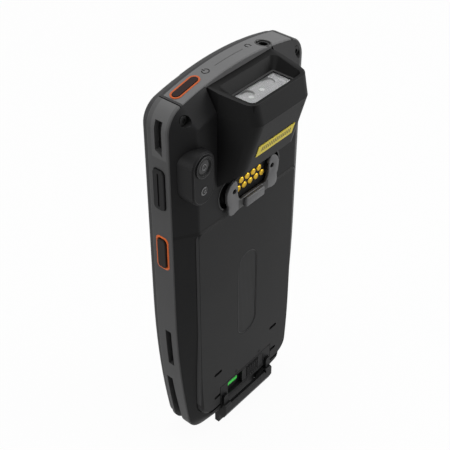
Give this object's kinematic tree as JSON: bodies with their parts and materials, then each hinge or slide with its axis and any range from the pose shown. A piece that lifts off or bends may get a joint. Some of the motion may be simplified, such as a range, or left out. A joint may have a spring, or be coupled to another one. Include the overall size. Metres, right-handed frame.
{
  "type": "portable barcode data terminal",
  "caption": "Handheld barcode data terminal with a top-facing scanner hood, rear battery pack, keypad and display.",
  "frame": {"origin": "on the plane of symmetry at the foot of the strap bar, mid-depth of the whole part", "axes": "+Z along the body to the scanner end, -Y out of the back with the scanner hood and battery, +Y out of the display and keypad, X across the width"},
  "size_m": [0.0812, 0.0364, 0.1857],
  "materials": {
    "front_shell": "satin",
    "key_rubber": "matt",
    "keypad_key": "satin",
    "display_glass": "gloss",
    "display_panel": "gloss",
    "grille_mesh": "mesh",
    "lens_glass": "gloss",
    "status_light": "gloss",
    "inner_frame": "matt",
    "circuit_board": "solder mask",
    "speaker_shell": "matt",
    "gold_contact": "plated",
    "side_band": "fine texture",
    "end_trim": "matt",
    "frame_trim": "satin",
    "scan_key": "satin",
    "side_key": "matt",
    "power_ring": "satin",
    "rear_shell": "fine texture",
    "hood_shell": "fine texture",
    "scan_window": "clear",
    "scan_engine": "matt",
    "camera_ring": "gloss",
    "flash_lens": "gloss",
    "bracket_metal": "satin",
    "battery_shell": "fine texture",
    "latch_mark": "matt",
    "strap_bar": "satin",
    "screw_steel": "blackened",
    "socket_plastic": "matt",
    "socket_steel": "plated"
  },
  "bodies": {
    "housing": {"front_housing": "front_shell", "keypad_mat": "key_rubber", "display_glass": "display_glass", "display_panel": "display_panel", "receiver_grille": "grille_mesh", "front_camera_lens": "lens_glass", "status_light": "status_light", "mid_frame": "inner_frame", "main_board": "circuit_board", "speaker": "speaker_shell", "battery_contacts": "gold_contact", "side_band_left": "side_band", "side_band_right": "side_band", "top_trim": "end_trim", "bottom_trim": "end_trim", "scan_frame_left": "frame_trim", "scan_frame_right": "frame_trim", "power_ring": "power_ring", "rear_housing": "rear_shell", "scanner_hood": "hood_shell", "scanner_window": "scan_window", "scan_engine": "scan_engine", "camera_island": "rear_shell", "camera_ring": "camera_ring", "camera_lens": "lens_glass", "flash_lens": "flash_lens", "contact_block": "hood_shell", "contact_pins": "gold_contact", "grip_bracket": "bracket_metal", "latch_mark": "latch_mark", "strap_bar": "strap_bar", "housing_screws": "screw_steel", "audio_jack": "socket_plastic", "usb_socket": "socket_steel"},
    "key_menu": {"key_menu": "keypad_key"},
    "key_scan_front": {"key_scan_front": "scan_key"},
    "key_back": {"key_back": "keypad_key"},
    "key_row1_1": {"key_row1_1": "keypad_key"},
    "key_row1_2": {"key_row1_2": "keypad_key"},
    "key_row1_3": {"key_row1_3": "keypad_key"},
    "key_row2_1": {"key_row2_1": "keypad_key"},
    "key_row2_2": {"key_row2_2": "keypad_key"},
    "key_row2_3": {"key_row2_3": "keypad_key"},
    "key_row3_1": {"key_row3_1": "keypad_key"},
    "key_row3_2": {"key_row3_2": "keypad_key"},
    "key_row3_3": {"key_row3_3": "keypad_key"},
    "key_row4_1": {"key_row4_1": "keypad_key"},
    "key_row4_2": {"key_row4_2": "keypad_key"},
    "key_row4_3": {"key_row4_3": "keypad_key"},
    "scan_key_left": {"scan_key_left": "scan_key"},
    "scan_key_right": {"scan_key_right": "scan_key"},
    "volume_rocker": {"volume_rocker": "side_key"},
    "power_key": {"power_key": "side_key"},
    "battery_latch": {"battery_latch": "rear_shell"},
    "battery_pack": {"battery_pack": "battery_shell"}
  },
  "joints": [
    {"name": "key_menu_press", "type": "slide", "parent": "housing", "child": "key_menu", "axis": [0, -1, 0], "range_m": [0, 0.0005], "stiffness_N_per_m": 2000},
    {"name": "key_scan_front_press", "type": "slide", "parent": "housing", "child": "key_scan_front", "axis": [0, -1, 0], "range_m": [0, 0.0005], "stiffness_N_per_m": 2000},
    {"name": "key_back_press", "type": "slide", "parent": "housing", "child": "key_back", "axis": [0, -1, 0], "range_m": [0, 0.0005], "stiffness_N_per_m": 2000},
    {"name": "key_row1_1_press", "type": "slide", "parent": "housing", "child": "key_row1_1", "axis": [0, -1, 0], "range_m": [0, 0.0005], "stiffness_N_per_m": 2000},
    {"name": "key_row1_2_press", "type": "slide", "parent": "housing", "child": "key_row1_2", "axis": [0, -1, 0], "range_m": [0, 0.0005], "stiffness_N_per_m": 2000},
    {"name": "key_row1_3_press", "type": "slide", "parent": "housing", "child": "key_row1_3", "axis": [0, -1, 0], "range_m": [0, 0.0005], "stiffness_N_per_m": 2000},
    {"name": "key_row2_1_press", "type": "slide", "parent": "housing", "child": "key_row2_1", "axis": [0, -1, 0], "range_m": [0, 0.0005], "stiffness_N_per_m": 2000},
    {"name": "key_row2_2_press", "type": "slide", "parent": "housing", "child": "key_row2_2", "axis": [0, -1, 0], "range_m": [0, 0.0005], "stiffness_N_per_m": 2000},
    {"name": "key_row2_3_press", "type": "slide", "parent": "housing", "child": "key_row2_3", "axis": [0, -1, 0], "range_m": [0, 0.0005], "stiffness_N_per_m": 2000},
    {"name": "key_row3_1_press", "type": "slide", "parent": "housing", "child": "key_row3_1", "axis": [0, -1, 0], "range_m": [0, 0.0005], "stiffness_N_per_m": 2000},
    {"name": "key_row3_2_press", "type": "slide", "parent": "housing", "child": "key_row3_2", "axis": [0, -1, 0], "range_m": [0, 0.0005], "stiffness_N_per_m": 2000},
    {"name": "key_row3_3_press", "type": "slide", "parent": "housing", "child": "key_row3_3", "axis": [0, -1, 0], "range_m": [0, 0.0005], "stiffness_N_per_m": 2000},
    {"name": "key_row4_1_press", "type": "slide", "parent": "housing", "child": "key_row4_1", "axis": [0, -1, 0], "range_m": [0, 0.0005], "stiffness_N_per_m": 2000},
    {"name": "key_row4_2_press", "type": "slide", "parent": "housing", "child": "key_row4_2", "axis": [0, -1, 0], "range_m": [0, 0.0005], "stiffness_N_per_m": 2000},
    {"name": "key_row4_3_press", "type": "slide", "parent": "housing", "child": "key_row4_3", "axis": [0, -1, 0], "range_m": [0, 0.0005], "stiffness_N_per_m": 2000},
    {"name": "scan_key_left_press", "type": "slide", "parent": "housing", "child": "scan_key_left", "axis": [1, 0, 0], "range_m": [0, 0.0006], "stiffness_N_per_m": 2000},
    {"name": "scan_key_right_press", "type": "slide", "parent": "housing", "child": "scan_key_right", "axis": [-1, 0, 0], "range_m": [0, 0.0006], "stiffness_N_per_m": 2000},
    {"name": "power_key_press", "type": "slide", "parent": "housing", "child": "power_key", "axis": [0.1839, 0, -0.9829], "range_m": [0, 0.0005], "stiffness_N_per_m": 2000},
    {"name": "volume_rocker_tilt", "type": "hinge", "parent": "housing", "child": "volume_rocker", "pos_m": [-0.0385, 0.0093, 0.1463], "axis": [0, 1, 0], "range_deg": [-2, 2], "stiffness_Nm_per_rad": 0.05},
    {"name": "battery_latch_slide", "type": "slide", "parent": "housing", "child": "battery_latch", "axis": [-1, 0, 0], "range_m": [0, 0.01]},
    {"name": "battery_tilt", "type": "hinge", "parent": "housing", "child": "battery_pack", "pos_m": [0, -0.0018, 0.1243], "axis": [-1, 0, 0], "range_deg": [0, 25]}
  ]
}
